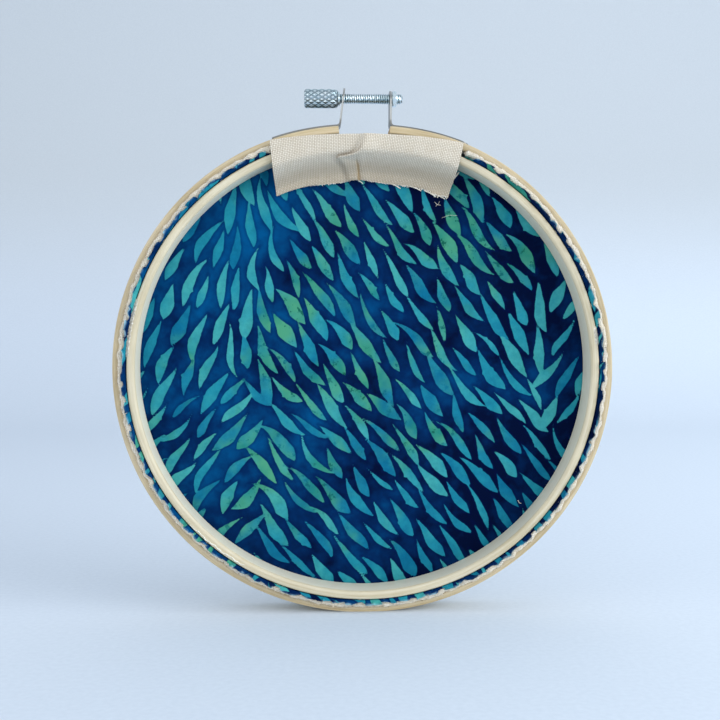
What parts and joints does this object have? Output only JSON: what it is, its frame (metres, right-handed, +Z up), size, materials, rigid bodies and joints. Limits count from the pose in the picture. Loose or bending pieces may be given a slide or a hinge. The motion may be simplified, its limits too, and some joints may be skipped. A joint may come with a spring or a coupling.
{
  "type": "embroidery in a wooden hoop",
  "caption": "Embroidery clamped in a round wooden screw hoop, back view: canvas with a folded flap, raw edge between the rings, leaf-print batik lining.",
  "frame": {"origin": "centre of the bounding box's bottom: the flat under the outer ring, on the surface the hoop stands on", "axes": "+Z up, from the foot to the thumb screw; +Y out of the plain front of the work; -Y out of its back, the side that the picture shows; +X to the right as seen from the back"},
  "size_m": [0.1344, 0.0145, 0.1417],
  "materials": {
    "pale_wood": "satin",
    "tan_wood": "satin",
    "batik_cotton": "matte",
    "cream_canvas": "matte",
    "plated_steel": "satin"
  },
  "bodies": {
    "hoop": {"inner_ring": "pale_wood", "outer_ring": "tan_wood", "batik_lining": "batik_cotton", "canvas": "cream_canvas", "clasp_left": "plated_steel", "clasp_right": "plated_steel", "nut": "plated_steel"},
    "thumb_screw": {"screw": "plated_steel"}
  },
  "joints": [
    {"name": "screw_turn", "type": "hinge", "parent": "hoop", "child": "thumb_screw", "pos_m": [0, 0.00164, 0.13859], "axis": [1, 0, 0], "continuous": true}
  ]
}
